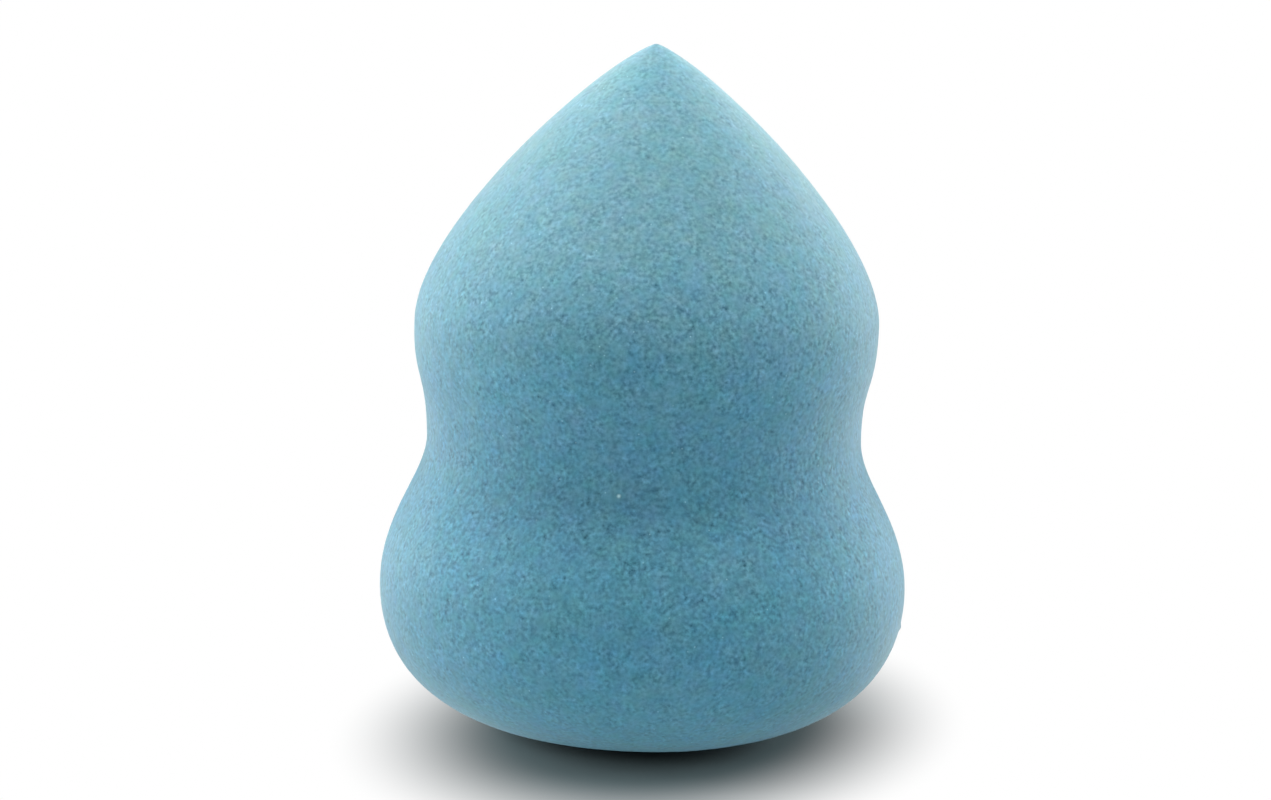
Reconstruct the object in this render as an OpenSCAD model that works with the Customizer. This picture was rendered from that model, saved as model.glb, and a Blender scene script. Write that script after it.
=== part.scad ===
// Makeup sponge: one solid piece of fine, soft foam in the shape of a gourd.
// It stands on its flat foot, with its axis along +Z and the foot's centre at the origin.

/* [Base] */
// Diameter of the flat foot that the sponge stands on
foot_d = 11; // [8:0.1:20]
// Height of the rounded base, from the foot to the widest ring of the belly
base_h = 12.8; // [9:0.1:18]
// Diameter of the belly at its widest ring
belly_d = 45.5; // [40:0.1:54]

/* [Waist] */
// Height of the flank, from the widest ring of the belly up to the waist
flank_h = 13; // [10:0.1:20]
// Diameter of the waist at its narrowest ring
waist_d = 37.5; // [30:0.1:39]

/* [Crown] */
// Height of the neck, from the waist up to the widest ring of the crown
neck_h = 10.1; // [7:0.1:14]
// Diameter of the crown at its widest ring
crown_d = 40; // [38:0.1:50]

/* [Tip] */
// Height of the hood, from the widest ring of the crown up to the tip
hood_h = 24.1; // [18:0.1:34]
// Radius of the small round end of the tip
tip_r = 0.5; // [0.3:0.1:2]
// Angle between the axis and the surface where the round end of the tip begins
tip_angle = 68; // [50:1:72]

/* [Hidden] */

// Height of each ring above the foot
belly_z = base_h;
waist_z = belly_z + flank_h;
crown_z = waist_z + neck_h;
tip_z = crown_z + hood_h;

// Each stretch of the outline is a cubic curve that leaves both of its ends along the surface there.
// A handle's length is given as a share of the height, or for the foot of the width, of its stretch.
foot_handle_share = 0.41;
belly_under_share = 0.79;
belly_over_share = 0.45;
waist_under_share = 0.28;
waist_over_share = 0.55;
crown_under_share = 0.53;
crown_over_share = 0.33;
tip_handle_share = 0.22;

// Pieces in each curved stretch, pieces in the round end of the tip, and facets around the axis
curve_steps = 18;
tip_steps = 6;
$fn = 144;

// Radius of each ring
foot_r = foot_d / 2;
belly_r = belly_d / 2;
waist_r = waist_d / 2;
crown_r = crown_d / 2;

// Centre of the round end of the tip, and the point where the hood runs into it
tip_centre_z = tip_z - tip_r;
hood_end = [tip_r * cos(tip_angle), tip_centre_z + tip_r * sin(tip_angle)];
hood_slope = [sin(tip_angle), -cos(tip_angle)];

function cubic(a, b, c, d, t) =
    pow(1 - t, 3) * a + 3 * pow(1 - t, 2) * t * b + 3 * (1 - t) * t * t * c + t * t * t * d;

// Points of a cubic curve, without its first one
function stretch(a, b, c, d) = [for (i = [1:curve_steps]) cubic(a, b, c, d, i / curve_steps)];

function base_curve() = stretch(
    [foot_r, 0],
    [foot_r + (belly_r - foot_r) * foot_handle_share, 0],
    [belly_r, belly_z - base_h * belly_under_share],
    [belly_r, belly_z]
);

function flank_curve() = stretch(
    [belly_r, belly_z],
    [belly_r, belly_z + flank_h * belly_over_share],
    [waist_r, waist_z - flank_h * waist_under_share],
    [waist_r, waist_z]
);

function neck_curve() = stretch(
    [waist_r, waist_z],
    [waist_r, waist_z + neck_h * waist_over_share],
    [crown_r, crown_z - neck_h * crown_under_share],
    [crown_r, crown_z]
);

function hood_curve() = stretch(
    [crown_r, crown_z],
    [crown_r, crown_z + hood_h * crown_over_share],
    hood_end + hood_slope * hood_h * tip_handle_share,
    hood_end
);

function tip_arc() = [
    for (i = [1:tip_steps])
        let (angle = tip_angle + (90 - tip_angle) * i / tip_steps)
            [i < tip_steps ? tip_r * cos(angle) : 0, tip_centre_z + tip_r * sin(angle)]
];

module sponge_body() {
    color("#6E9DAE")
        rotate_extrude()
            polygon(concat(
                [[0, 0], [foot_r, 0]],
                base_curve(),
                flank_curve(),
                neck_curve(),
                hood_curve(),
                tip_arc()
            ));
}

sponge_body();
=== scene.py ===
import math

import bpy
import numpy as np
from mathutils import Matrix, Vector


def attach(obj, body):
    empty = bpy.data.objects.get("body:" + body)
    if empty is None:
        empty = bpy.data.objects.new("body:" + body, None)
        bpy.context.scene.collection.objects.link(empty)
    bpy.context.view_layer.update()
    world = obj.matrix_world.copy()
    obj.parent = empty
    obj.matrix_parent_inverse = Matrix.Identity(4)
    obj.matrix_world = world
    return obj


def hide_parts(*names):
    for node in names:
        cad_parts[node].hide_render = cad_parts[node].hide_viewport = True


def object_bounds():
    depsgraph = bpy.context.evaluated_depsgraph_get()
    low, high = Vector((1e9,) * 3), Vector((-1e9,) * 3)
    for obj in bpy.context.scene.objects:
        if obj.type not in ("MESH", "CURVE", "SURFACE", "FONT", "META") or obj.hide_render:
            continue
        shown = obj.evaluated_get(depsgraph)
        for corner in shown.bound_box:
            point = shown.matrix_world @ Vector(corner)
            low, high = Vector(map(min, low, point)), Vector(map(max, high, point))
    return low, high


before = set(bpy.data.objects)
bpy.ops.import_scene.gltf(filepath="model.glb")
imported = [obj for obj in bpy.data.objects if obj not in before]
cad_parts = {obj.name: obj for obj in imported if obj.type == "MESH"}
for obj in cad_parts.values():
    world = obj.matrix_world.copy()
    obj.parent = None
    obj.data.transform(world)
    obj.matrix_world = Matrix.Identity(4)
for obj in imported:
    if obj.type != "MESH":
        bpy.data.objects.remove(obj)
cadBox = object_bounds()  # before anything is added, so this is the box of the solid
mm = 0.001
print("frame loaded")


def addNode(tree, kind, inputs=None, **settings):
    node = tree.nodes.new(kind)
    for name, value in settings.items():
        setattr(node, name, value)
    for name, value in (inputs or {}).items():
        feed(tree, node.inputs[name], value)
    return node


def feed(tree, socket, value):
    if isinstance(value, bpy.types.NodeSocket):
        tree.links.new(value, socket)
    else:
        socket.default_value = value


def reckon(tree, operation, *values):  # one Math node
    node = addNode(tree, "ShaderNodeMath", dict(enumerate(values)), operation=operation)
    return node.outputs[0]


def point(tree, operation, *values):  # one Vector Math node
    node = addNode(tree, "ShaderNodeVectorMath", operation=operation)
    sockets = [s for s in node.inputs if s.enabled]
    for socket, value in zip(sockets, values):
        feed(tree, socket, value)
    return next(s for s in node.outputs if s.enabled)


def split(tree, vector):
    return addNode(tree, "ShaderNodeSeparateXYZ", {0: vector}).outputs


def join(tree, x, y, z):
    return addNode(tree, "ShaderNodeCombineXYZ", {0: x, 1: y, 2: z}).outputs[0]


def inAll(tree, value):  # the same value for x, y and z, or for red, green and blue
    return join(tree, value, value, value)


def ease(tree, value, start, end):  # 0 as far as the start and 1 from the end on, smooth between them
    limits = {"Value": value, "From Min": start, "From Max": end}
    return addNode(tree, "ShaderNodeMapRange", limits, interpolation_type="SMOOTHSTEP").outputs[0]


def seeded(tree, place, size, seed):  # the place in units of the pattern, moved by its seed
    scaled = point(tree, "SCALE", place, reckon(tree, "DIVIDE", 1.0, size))
    return point(tree, "ADD", scaled, inAll(tree, seed))


def wave(tree, place, size, seed, detail=0.0):  # smooth noise between -1 and 1
    inputs = {"Vector": seeded(tree, place, size, seed), "Scale": 1.0, "Detail": detail}
    return reckon(tree, "MULTIPLY_ADD", addNode(tree, "ShaderNodeTexNoise", inputs).outputs[0], 2.0, -1.0)


def spots(tree, place, spacing, reach, seed):  # 1 in the middle of each spot, and 0 from its rim on
    where = seeded(tree, place, spacing, seed)
    cells = addNode(tree, "ShaderNodeTexVoronoi", {"Vector": where, "Scale": 1.0})
    return ease(tree, cells.outputs["Distance"], reckon(tree, "DIVIDE", reach, spacing), 0.0)


def spotAt(tree, place, middle, reach):
    return ease(tree, point(tree, "DISTANCE", place, middle), reach, 0.0)


def byHeight(tree, place, stops):  # a colour for each height in millimetres
    top = stops[-1][0]
    ramp = addNode(tree, "ShaderNodeValToRGB", {0: reckon(tree, "DIVIDE", split(tree, place)[2], top)})
    elements = ramp.color_ramp.elements
    for height, colour in stops:
        element = elements[-1] if height == top else elements.new(height / top)
        element.color = (*colour, 1)
    elements.remove(elements[0])
    return ramp.outputs["Color"]


# The sponge's colour and grain, with sizes in millimetres and strengths as shares of the colour.
# The colours by height come from a program that compared renders with the photograph, and are rounded.
foamColour = {
    "byHeight": [  # painted light and shade: greyer and paler towards the lit tip, darker in the waist's shade, clearer blue towards the foot
        (3, (0.085, 0.33, 0.46)),
        (9, (0.095, 0.335, 0.475)),
        (16, (0.09, 0.325, 0.455)),
        (23, (0.085, 0.3, 0.43)),
        (33, (0.11, 0.355, 0.49)),
        (44, (0.135, 0.35, 0.44)),
        (50, (0.135, 0.335, 0.41)),
        (57, (0.14, 0.355, 0.43)),
    ],
    "grainSize": 0.345,
    "grainStrength": 0.79,
    "grainShares": (1.35, 1.0, 0.92),  # of that strength for red, green and blue
    "grainByHeight": [(5, 0.7), (9, 0.75), (17, 0.95), (24, 0.95), (31, 0.8), (39, 0.9), (49, 0.65)],
    "patchSize": 1.3,  # the grain is stronger and weaker in patches
    "patchStrength": 1.1,
    "mottleSize": 1.5,
    "mottleStrength": 0.13,
    # painted shade in the middle of each open cell
    "pitShadeStrength": 0.16,
    "tintSize": 1.3,
    "tint": (0.27, 0.025, 0.155),  # how far red, green and blue wander, each on its own
    "driftSize": 4.5,
    "drift": (0.14, 0.015, 0.075),
    "hueRoughness": 0.7,
    # painted highlights on scattered cells
    "fleckEvery": 1.4,
    "fleckReach": 0.1,
    "fleckColour": (0.25, 0.36, 0.36),  # added to the foam's own, as the glint's is
    "glintPlace": (-2.12, -18.8, 24.2),  # a painted glint on one cell at the front
    "glintReach": 0.26,
    "glintColour": (0.5, 0.6, 0.58),
    "bump": 0.0045,  # how far the grain stands up in the shading
    "roughness": 0.6,
    "specular": 0.1,
    "sheen": 0.47,
    "sheenTint": (0.88, 1.0, 1.0),
    "sheenRoughness": 0.6,
    # Each pattern's own seed is added to the skin's
    "seeds": {"patch": 1, "grain": 3, "mottle": 5, "tint": 7, "drift": 9, "fleck": 11},
}


def lively(tree, place):  # how strong the grain and the open cells are
    look = foamColour
    seed = foamSkin["Seed"] + look["seeds"]["patch"]
    stops = [(height, (share, share, share)) for height, share in look["grainByHeight"]]
    usual = split(tree, byHeight(tree, place, stops))[0]
    patch = wave(tree, place, look["patchSize"], seed, detail=1.0)
    return reckon(tree, "MULTIPLY", usual, reckon(tree, "MULTIPLY_ADD", patch, look["patchStrength"], 1.0))


def wander(tree, place, kind, detail):  # a factor round 1 for each of red, green and blue
    look = foamColour
    seed = foamSkin["Seed"] + look["seeds"][kind]
    inputs = {
        "Vector": seeded(tree, place, look[kind + "Size"], seed),
        "Scale": 1.0,
        "Detail": detail,
        "Roughness": look["hueRoughness"],
    }
    colour = addNode(tree, "ShaderNodeTexNoise", inputs).outputs["Color"]
    aroundZero = point(tree, "MULTIPLY_ADD", colour, (2, 2, 2), (-1, -1, -1))
    return point(tree, "MULTIPLY_ADD", aroundZero, look[kind], (1, 1, 1))


def foamMaterial():
    material = bpy.data.materials.new("softFoam")
    material.use_nodes = True
    tree = material.node_tree
    look = foamColour
    seed = foamSkin["Seed"]
    seeds = look["seeds"]
    inMm = point(tree, "SCALE", addNode(tree, "ShaderNodeTexCoord").outputs["Object"], 1 / mm)

    # Fine grain and broader mottling make the foam lighter and darker, and painted shade darkens the open
    # cells
    strength = lively(tree, inMm)
    grain = wave(tree, inMm, look["grainSize"], seed + seeds["grain"], detail=2.0)
    grain = reckon(tree, "MULTIPLY", grain, strength)
    mottle = wave(tree, inMm, look["mottleSize"], seed + seeds["mottle"], detail=1.0)
    # painted shade, darkest in the middle of each open cell
    pitShade = spots(tree, inMm, foamSkin["Cell Size"], foamSkin["Cell Reach"], seed)
    pitShade = reckon(tree, "MULTIPLY", pitShade, strength)
    change = reckon(tree, "MULTIPLY", grain, look["grainStrength"])
    change = reckon(tree, "MULTIPLY_ADD", mottle, look["mottleStrength"], change)
    change = reckon(tree, "MULTIPLY_ADD", pitShade, -look["pitShadeStrength"], change)
    shades = point(tree, "MULTIPLY_ADD", inAll(tree, change), look["grainShares"], (1, 1, 1))
    # The colours by height hold painted light and shade as well as the foam's own blue
    colour = point(tree, "MULTIPLY", byHeight(tree, inMm, look["byHeight"]), shades)

    # The hue wanders, and painted highlights brighten a few cells
    colour = point(tree, "MULTIPLY", colour, wander(tree, inMm, "tint", detail=1.0))
    colour = point(tree, "MULTIPLY", colour, wander(tree, inMm, "drift", detail=0.0))
    fleck = spots(tree, inMm, look["fleckEvery"], look["fleckReach"], seed + seeds["fleck"])
    colour = point(tree, "MULTIPLY_ADD", inAll(tree, fleck), look["fleckColour"], colour)
    glint = spotAt(tree, inMm, look["glintPlace"], look["glintReach"])
    colour = point(tree, "MULTIPLY_ADD", inAll(tree, glint), look["glintColour"], colour)

    bump = addNode(
        tree,
        "ShaderNodeBump",
        {"Height": grain, "Strength": 1.0, "Distance": look["bump"] * mm},
    )
    shader = tree.nodes["Principled BSDF"]
    tree.links.new(colour, shader.inputs["Base Color"])
    tree.links.new(bump.outputs[0], shader.inputs["Normal"])
    shader.inputs["Roughness"].default_value = look["roughness"]
    shader.inputs["Specular IOR Level"].default_value = look["specular"]
    shader.inputs["Sheen Weight"].default_value = look["sheen"]
    shader.inputs["Sheen Tint"].default_value = (*look["sheenTint"], 1)
    shader.inputs["Sheen Roughness"].default_value = look["sheenRoughness"]
    print("foam material mixed")
    return material


# The turned outline: each handle is a share of the height, or at the foot of the width, of its stretch.
# The shares were fitted to the photograph's outline by a program and rounded.
outline = {
    "tipRadius": 0.5 * mm,
    "tipAngle": 68,  # degrees between the axis and the hood where the round tip begins
    "hoodEndShare": 0.22,
    "crownOverShare": 0.33,
    "crownUnderShare": 0.53,
    "waistOverShare": 0.55,
    "waistUnderShare": 0.28,
    "bellyOverShare": 0.45,
    "bellyUnderShare": 0.79,
    "footShare": 0.41,
    "steps": 64,  # in each stretch
}


def ringsOf(node):  # height and radius of every ring of corners of a turned solid
    corners = np.array([v.co[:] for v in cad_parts[node].data.vertices])
    heights = np.round(corners[:, 2], 6)  # to the micrometre
    radii = np.hypot(corners[:, 0], corners[:, 1])
    return np.array([(z, radii[heights == z].max()) for z in np.unique(heights)])


def drawOutline():  # a curve from the tip down to the middle of the foot
    rings = ringsOf("sponge_body")
    tipZ = rings[-1][0]
    footR = rings[0][1]
    bellyZ, bellyR = rings[rings[:, 1].argmax()]
    above = rings[rings[:, 0] >= bellyZ]
    widens = np.diff(above[:, 1]) > 0.001 * mm
    waistZ, waistR = above[widens.argmax()]  # the last ring before the first wider one
    above = rings[rings[:, 0] > waistZ]
    crownZ, crownR = above[above[:, 1].argmax()]

    shape = outline
    angle = math.radians(shape["tipAngle"])
    tipR = shape["tipRadius"]
    along = Vector((math.sin(angle), 0, -math.cos(angle)))  # down the hood from the tip
    hoodEnd = Vector((tipR * math.cos(angle), 0, tipZ - tipR + tipR * math.sin(angle)))
    arcHandle = tipR * 4 / 3 * math.tan((math.pi / 2 - angle) / 4)  # so that the tip's curve is an arc
    right = Vector((1, 0, 0))
    up = Vector((0, 0, 1))
    hood = up * (tipZ - crownZ)
    neck = up * (crownZ - waistZ)
    flank = up * (waistZ - bellyZ)
    base = up * bellyZ
    foot = right * footR
    stations = [  # place, handle towards the tip, handle towards the foot
        (up * tipZ, Vector(), right * arcHandle),
        (hoodEnd, -along * arcHandle, along * hood.length * shape["hoodEndShare"]),
        (right * crownR + up * crownZ, hood * shape["crownOverShare"], -neck * shape["crownUnderShare"]),
        (right * waistR + up * waistZ, neck * shape["waistOverShare"], -flank * shape["waistUnderShare"]),
        (right * bellyR + up * bellyZ, flank * shape["bellyOverShare"], -base * shape["bellyUnderShare"]),
        (foot, right * (bellyR - footR) * shape["footShare"], -foot / 3),
        (Vector(), foot / 3, Vector()),
    ]
    curve = bpy.data.curves.new("sponge_outline", "CURVE")
    curve.dimensions = "3D"
    curve.resolution_u = shape["steps"]
    spline = curve.splines.new("BEZIER")
    spline.bezier_points.add(len(stations) - 1)
    for corner, (place, towardsTip, towardsFoot) in zip(spline.bezier_points, stations):
        corner.handle_left_type = "FREE"
        corner.handle_right_type = "FREE"
        corner.co = place
        corner.handle_left = place + towardsTip
        corner.handle_right = place + towardsFoot
    piece = bpy.data.objects.new("sponge_outline", curve)
    bpy.context.scene.collection.objects.link(piece)
    print("outline drawn")
    return piece


# The bake's map is a table of tiles: a column each for the sides along x, y and z, and a row for each way
bakeMap = {
    "columns": 3,
    "rows": 2,
    "halfSide": 0.495,  # in tiles, a little under a half, so that neighbours don't touch
}


def bakePlace(tree, onCube):  # where a corner of the cube, which reaches from -1 to 1, lies on that map
    side = addNode(
        tree,
        "GeometryNodeFieldOnDomain",
        {0: addNode(tree, "GeometryNodeInputNormal").outputs[0]},
        data_type="FLOAT_VECTOR",
        domain="FACE",
    ).outputs[0]
    x, y, z = split(tree, onCube)
    _, sideY, sideZ = split(tree, side)
    isEnd = reckon(tree, "ABSOLUTE", sideZ)  # 1 on the top and the bottom, 0 on the four walls
    turned = point(tree, "DOT_PRODUCT", side, join(tree, y, reckon(tree, "MULTIPLY", x, -1.0), 0.0))
    alongU = reckon(tree, "MULTIPLY_ADD", x, isEnd, turned)
    standing = reckon(tree, "MULTIPLY", z, reckon(tree, "SUBTRACT", 1.0, isEnd))
    alongV = reckon(tree, "MULTIPLY_ADD", y, sideZ, standing)

    # Sides along x, y and z take columns 0, 1 and 2, and the minus ones the lower row
    column = reckon(tree, "MULTIPLY_ADD", isEnd, 2.0, reckon(tree, "ABSOLUTE", sideY))
    row = point(tree, "DOT_PRODUCT", side, (0.5, 0.5, 0.5))
    tileMiddle = join(tree, reckon(tree, "ADD", column, 0.5), reckon(tree, "ADD", row, 1.0), 0.0)
    inTile = point(tree, "SCALE", join(tree, alongU, alongV, 0.0), bakeMap["halfSide"])
    tile = (1 / bakeMap["columns"], 1 / bakeMap["rows"], 0.0)
    return point(tree, "MULTIPLY", point(tree, "ADD", tileMiddle, inTile), tile)


# The sponge's skin, in millimetres
foamSkin = {
    "Grid Steps": 240,  # squares along each edge of the cube that becomes the skin
    "Swell Size": 13.0,  # slow swells from the mould
    "Swell Height": 0.06,
    "Lump Size": 2.4,
    "Lump Height": 0.02,
    "Cell Size": 0.48,  # from one open cell to the next
    "Cell Reach": 0.34,  # from the middle of an open cell to its rim
    "Cell Depth": 0.03,
    "Burr Place": (22.35, -1.6, 10.0),  # at the right of the belly
    "Burr Reach": 0.46,
    "Burr Height": 0.12,
    "Bend": 0.27,  # the waist leans to the left against the rest
    "Bend Middle": 31.0,  # height where it leans furthest
    "Bend Length": 8.0,
    "Bend Balance": 0.22,  # share of the bend by which the rest stands to the right
    "Foot Fade": 0.6,  # height over which the flat foot becomes the rough skin
    "Seed": 4.0,
}


def foamTree():
    tree = bpy.data.node_groups.new("turnedFoam", "GeometryNodeTree")
    tree.interface.new_socket("Outline", in_out="INPUT", socket_type="NodeSocketGeometry")
    kinds = {int: "NodeSocketInt", float: "NodeSocketFloat", tuple: "NodeSocketVector"}
    for name, value in foamSkin.items():
        tree.interface.new_socket(name, in_out="INPUT", socket_type=kinds[type(value)])
    tree.interface.new_socket("Material", in_out="INPUT", socket_type="NodeSocketMaterial")
    tree.interface.new_socket("Foam", in_out="OUTPUT", socket_type="NodeSocketGeometry")
    given = addNode(tree, "NodeGroupInput").outputs
    result = addNode(tree, "NodeGroupOutput")

    # A cube of square cells, whose every corner knows its place on the bake's map
    across = reckon(tree, "ADD", given["Grid Steps"], 1.0)
    cube = addNode(
        tree,
        "GeometryNodeMeshCube",
        {"Size": (2, 2, 2), "Vertices X": across, "Vertices Y": across, "Vertices Z": across},
    )
    onCube = addNode(tree, "GeometryNodeInputPosition").outputs[0]
    mapped = addNode(
        tree,
        "GeometryNodeStoreNamedAttribute",
        {"Geometry": cube.outputs["Mesh"], "Name": "OFBake", "Value": bakePlace(tree, onCube)},
        data_type="FLOAT2",
        domain="CORNER",
    )

    # Each corner turns to its own angle round the axis and its own share of the outline's length
    quarter = point(tree, "SCALE", onCube, math.pi / 4)
    direction = point(tree, "NORMALIZE", point(tree, "TANGENT", quarter))  # with evenly wide squares
    fromTip = reckon(tree, "DIVIDE", reckon(tree, "ARCCOSINE", split(tree, direction)[2]), math.pi)
    onOutline = addNode(
        tree,
        "GeometryNodeSampleCurve",
        {"Curves": given["Outline"], "Factor": fromTip},
        mode="FACTOR",
        data_type="FLOAT_VECTOR",
        use_all_curves=True,
    )
    radius, _, height = split(tree, onOutline.outputs["Position"])
    outwards = point(tree, "NORMALIZE", point(tree, "MULTIPLY", direction, (1, 1, 0)))
    ring = point(tree, "SCALE", outwards, radius)
    place = point(tree, "ADD", ring, join(tree, 0.0, 0.0, height))
    lathed = addNode(
        tree,
        "GeometryNodeSetPosition",
        {"Geometry": mapped.outputs[0], "Position": place},
    )

    # Slow swells, small lumps, the open cells and the burr
    inMm = point(tree, "SCALE", addNode(tree, "GeometryNodeInputPosition").outputs[0], 1 / mm)
    seed = given["Seed"]
    swell = wave(tree, inMm, given["Swell Size"], seed)
    lump = wave(tree, inMm, given["Lump Size"], seed, detail=1.0)
    cell = spots(tree, inMm, given["Cell Size"], given["Cell Reach"], seed)
    depth = reckon(tree, "MULTIPLY", given["Cell Depth"], lively(tree, inMm))
    burr = spotAt(tree, inMm, given["Burr Place"], given["Burr Reach"])
    rise = reckon(tree, "MULTIPLY", swell, given["Swell Height"])
    rise = reckon(tree, "MULTIPLY_ADD", lump, given["Lump Height"], rise)
    rise = reckon(tree, "SUBTRACT", rise, reckon(tree, "MULTIPLY", cell, depth))
    rise = reckon(tree, "MULTIPLY_ADD", burr, given["Burr Height"], rise)
    heightInMm = split(tree, inMm)[2]
    fade = ease(tree, heightInMm, 0.0, given["Foot Fade"])
    normal = addNode(tree, "GeometryNodeInputNormal").outputs[0]
    moved = point(tree, "SCALE", normal, reckon(tree, "MULTIPLY", rise, fade))

    # The waist stands a little to the left of the tip and the belly
    fromWaist = reckon(tree, "SUBTRACT", heightInMm, given["Bend Middle"])
    part = reckon(tree, "DIVIDE", fromWaist, given["Bend Length"])
    dip = reckon(tree, "EXPONENT", reckon(tree, "MULTIPLY", reckon(tree, "MULTIPLY", part, part), -1.0))
    aside = reckon(tree, "MULTIPLY", reckon(tree, "SUBTRACT", given["Bend Balance"], dip), given["Bend"])
    moved = point(tree, "ADD", moved, join(tree, reckon(tree, "MULTIPLY", aside, fade), 0.0, 0.0))
    shaped = addNode(
        tree,
        "GeometryNodeSetPosition",
        {"Geometry": lathed.outputs[0], "Offset": point(tree, "SCALE", moved, mm)},
    )
    smooth = addNode(tree, "GeometryNodeSetShadeSmooth", {"Geometry": shaped.outputs[0]})
    real = addNode(tree, "GeometryNodeRealizeInstances", {"Geometry": smooth.outputs[0]})
    painted = addNode(
        tree,
        "GeometryNodeSetMaterial",
        {"Geometry": real.outputs[0], "Material": given["Material"]},
    )
    tree.links.new(painted.outputs[0], result.inputs["Foam"])
    return tree


def makeSponge():
    material = foamMaterial()
    piece = drawOutline()
    tree = foamTree()
    modifier = piece.modifiers.new("foam", "NODES")
    modifier.node_group = tree
    for socket in tree.interface.items_tree:
        if socket.in_out == "INPUT" and socket.name in foamSkin:
            modifier[socket.identifier] = foamSkin[socket.name]
        if socket.in_out == "INPUT" and socket.name == "Material":
            modifier[socket.identifier] = material
    graph = bpy.context.evaluated_depsgraph_get()
    mesh = bpy.data.meshes.new_from_object(piece.evaluated_get(graph), depsgraph=graph)
    piece.modifiers.remove(modifier)
    bpy.data.objects.remove(piece)
    mesh.name = "sponge_foam"
    sponge = bpy.data.objects.new("sponge_foam", mesh)
    bpy.context.scene.collection.objects.link(sponge)
    print("foam turned:", len(mesh.vertices), "corners,", len(mesh.polygons), "faces")
    return sponge


# The photograph is taken to be 1271 by 800 pixels. A program fitted its axis, its scale and the roll.
photo = {
    "width": 1271,
    "height": 800,
    "axisX": 646.8,  # pixel where the middle of the sponge's axis shows
    "axisY": 389.6,
    "pixelsPerMm": 11.589,  # at the sponge's axis
}

camera = {
    "distance": 520 * mm,
    "elevation": 10,  # degrees above the floor
    "roll": 1.48,  # degrees
    "sensor": 36,  # width in millimetres
}


def setCamera():
    data = bpy.data.cameras.new("camera")
    data.sensor_width = camera["sensor"]
    focalPixels = photo["pixelsPerMm"] / mm * camera["distance"]
    data.lens = camera["sensor"] * focalPixels / photo["width"]
    eye = bpy.data.objects.new("camera", data)
    tilt = Matrix.Rotation(math.radians(90 - camera["elevation"]), 4, "X")
    roll = Matrix.Rotation(math.radians(camera["roll"]), 4, "Z")
    target = (cadBox[0] + cadBox[1]) / 2
    aside = (photo["width"] / 2 - photo["axisX"]) / photo["pixelsPerMm"] * mm
    below = (photo["axisY"] - photo["height"] / 2) / photo["pixelsPerMm"] * mm
    back = Matrix.Translation((aside, below, camera["distance"]))
    eye.matrix_world = Matrix.Translation(target) @ tilt @ roll @ back
    bpy.context.scene.collection.objects.link(eye)
    bpy.context.scene.camera = eye


def seenRays(tree):  # 1 for rays that show the background, 0 for rays that light the object
    paths = addNode(tree, "ShaderNodeLightPath").outputs
    seen = reckon(tree, "MAXIMUM", paths["Is Camera Ray"], paths["Is Glossy Ray"])
    return reckon(tree, "MAXIMUM", seen, paths["Is Transmission Ray"])


# The ellipse of the floor's own shading was fitted to the photograph's shadow by a program
floorPlan = {
    "size": 3000 * mm,
    "colour": (0.66, 0.93, 1.0),  # with the blue that the sponge throws on it
    "roughness": 0.9,
    "shadeMiddle": (1.28 * mm, 1.47 * mm, 0),  # the floor shows its own shading in an ellipse round here
    "shadeTurn": -8.5,  # degrees
    "shadeShape": (0.585, 1, 1),  # the ellipse's width against its length
    "shadeReach": 20 * mm,  # half of its length, beyond which the shading fades
    "whiteFrom": 47.2 * mm,  # the same for the larger ellipse round which the floor is plain white
}


def setFloor():
    edge = floorPlan["size"] / 2
    mesh = bpy.data.meshes.new("floor")
    corners = [(-edge, -edge, 0), (edge, -edge, 0), (edge, edge, 0), (-edge, edge, 0)]
    mesh.from_pydata(corners, [], [(0, 1, 2, 3)])
    floor = bpy.data.objects.new("floor", mesh)
    bpy.context.scene.collection.objects.link(floor)
    material = bpy.data.materials.new("whiteFloor")
    material.use_nodes = True
    tree = material.node_tree
    shader = tree.nodes["Principled BSDF"]
    shader.inputs["Base Color"].default_value = (*floorPlan["colour"], 1)
    shader.inputs["Roughness"].default_value = floorPlan["roughness"]
    shader.inputs["Specular IOR Level"].default_value = 0.0
    inShade = addNode(
        tree,
        "ShaderNodeMapping",
        {
            "Vector": addNode(tree, "ShaderNodeTexCoord").outputs["Object"],
            "Location": floorPlan["shadeMiddle"],
            "Rotation": (0, 0, math.radians(floorPlan["shadeTurn"])),
            "Scale": floorPlan["shadeShape"],
        },
        vector_type="TEXTURE",
    ).outputs[0]
    distance = point(tree, "LENGTH", inShade)
    away = ease(tree, distance, floorPlan["shadeReach"], floorPlan["whiteFrom"])
    white = addNode(tree, "ShaderNodeEmission")
    seen = reckon(tree, "MULTIPLY", away, seenRays(tree))
    mixed = addNode(tree, "ShaderNodeMixShader", {0: seen, 1: shader.outputs[0], 2: white.outputs[0]})
    tree.links.new(mixed.outputs[0], tree.nodes["Material Output"].inputs["Surface"])
    mesh.materials.append(material)
    print("floor laid")
    return floor


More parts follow.
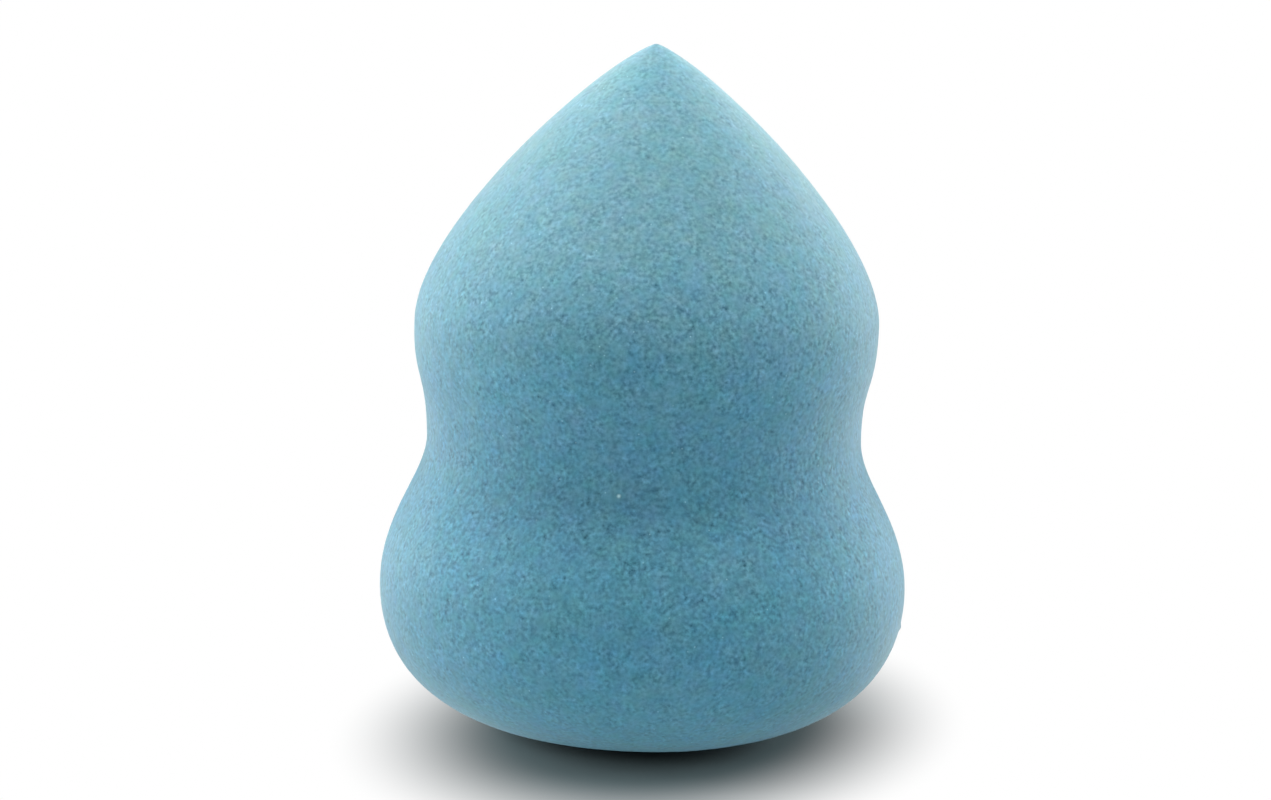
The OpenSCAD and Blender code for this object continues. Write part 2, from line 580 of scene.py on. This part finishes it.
# Soft boxes round the table: place and size in millimetres, power in watts.
# A program fitted the powers to the photograph's shading, and chose these boxes out of a larger set.
lamps = {
    "middle": 30,  # height that every lamp is turned to
    "foam": {
        "top": {"place": (0, 0, 550), "size": (120, 120), "power": 0.62},
        "front": {"place": (0, -600, 280), "size": (300, 300), "power": 0.79},
        "left": {"place": (-300, 0, 500), "size": (300, 300), "power": 1.16},
        "leftBack": {"place": (-200, 200, 500), "size": (300, 300), "power": 1.38},
        "leftLow": {"place": (-580, 50, 80), "size": (300, 120), "power": 1.33},
        "leftBackLow": {"place": (-520, 280, 80), "size": (300, 120), "power": 0.98},
        "right": {"place": (300, 0, 500), "size": (300, 300), "power": 1.91},
        "rightBack": {"place": (400, 400, 200), "size": (300, 300), "power": 0.84},
        "rightBackLow": {"place": (520, 280, 80), "size": (300, 120), "power": 1.22},
        "tableGlow": {"place": (0, -350, -320), "size": (350, 350), "power": 1.38},
    },
    "floor": {
        "leftBackFloor": {"place": (-480, 400, 110), "size": (300, 200), "power": 1.18},
        "leftFloor": {"place": (-570, 0, 200), "size": (300, 300), "power": 0.59},
        "leftFrontFloor": {"place": (-420, -420, 200), "size": (300, 300), "power": 0.28},
        "rightFloor": {"place": (570, 0, 200), "size": (300, 300), "power": 0.41},
        "rightBackFloor": {"place": (480, 400, 110), "size": (300, 200), "power": 0.95},
    },
}


def gather(name, piece):
    group = bpy.data.collections.new(name)
    group.objects.link(piece)
    return group


def setLamps(group, lit, shade):  # these lamps light one piece alone, and only the sponge shades it
    middle = Vector((0, 0, lamps["middle"]))
    for name, lamp in lamps[group].items():
        data = bpy.data.lights.new(name, "AREA")
        data.shape = "RECTANGLE"
        data.size, data.size_y = [side * mm for side in lamp["size"]]
        data.energy = lamp["power"]
        box = bpy.data.objects.new(name, data)
        place = Vector(lamp["place"])
        box.location = place * mm
        box.rotation_euler = (middle - place).to_track_quat("-Z", "Y").to_euler()
        box.light_linking.receiver_collection = lit
        box.light_linking.blocker_collection = shade
        bpy.context.scene.collection.objects.link(box)


def setBackdrop():  # plain white behind everything, which lights nothing
    world = bpy.data.worlds.new("whiteBackdrop")
    bpy.context.scene.world = world
    world.use_nodes = True
    tree = world.node_tree
    tree.nodes["Background"].inputs["Color"].default_value = (1, 1, 1, 1)
    tree.links.new(seenRays(tree), tree.nodes["Background"].inputs["Strength"])


setCamera()
sponge = makeSponge()
sponge.visible_diffuse = False  # else the floor and the waist take up more blue than they really show
floor = setFloor()
justFoam = gather("justFoam", sponge)
setLamps("foam", justFoam, justFoam)
setLamps("floor", gather("justFloor", floor), justFoam)
setBackdrop()
print("lamps and backdrop set")
bpy.context.scene.view_settings.view_transform = "Standard"

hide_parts("sponge_body")
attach(sponge, "root")
